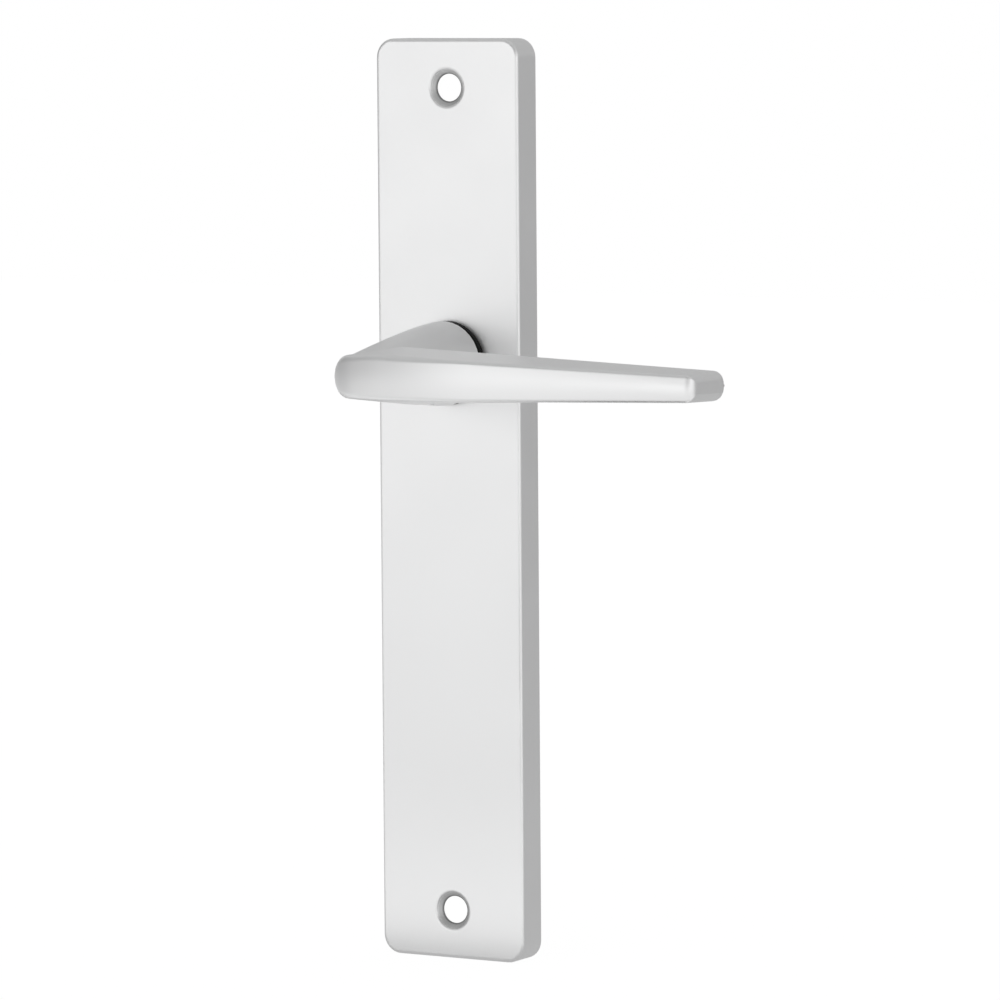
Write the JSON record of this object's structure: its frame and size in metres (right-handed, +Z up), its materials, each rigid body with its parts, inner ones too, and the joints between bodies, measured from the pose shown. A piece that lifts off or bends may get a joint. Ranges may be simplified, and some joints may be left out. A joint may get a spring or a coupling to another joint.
{
  "type": "lever handle on backplate",
  "caption": "Sprung door lever with a tapered grip on a long, narrow, open-backed aluminium backplate without a key hole.",
  "frame": {"origin": "middle of the backplate's seating face, midway between the screw holes", "axes": "+Y into the door, +Z up along the plate, +X towards the tip of the lever at rest"},
  "size_m": [0.1134, 0.0616, 0.218],
  "materials": {
    "satin_aluminium": "satin anodised",
    "black_nylon": "moulded",
    "zinc_plated_steel": "bright zinc plated",
    "spring_steel": "oiled"
  },
  "bodies": {
    "plate": {"backplate": "satin_aluminium", "bearing_bush": "black_nylon", "return_spring": "spring_steel"},
    "lever": {"lever": "satin_aluminium", "grub_screw": "zinc_plated_steel", "driver_cam": "zinc_plated_steel", "retaining_ring": "spring_steel"}
  },
  "joints": [
    {"name": "lever_turn", "type": "hinge", "parent": "plate", "child": "lever", "pos_m": [0, -0.0086, 0.0328], "axis": [0, 1, 0], "range_deg": [0, 40], "stiffness_Nm_per_rad": 0.9, "springref_deg": -28.65, "deforming": ["return_spring"]}
  ]
}
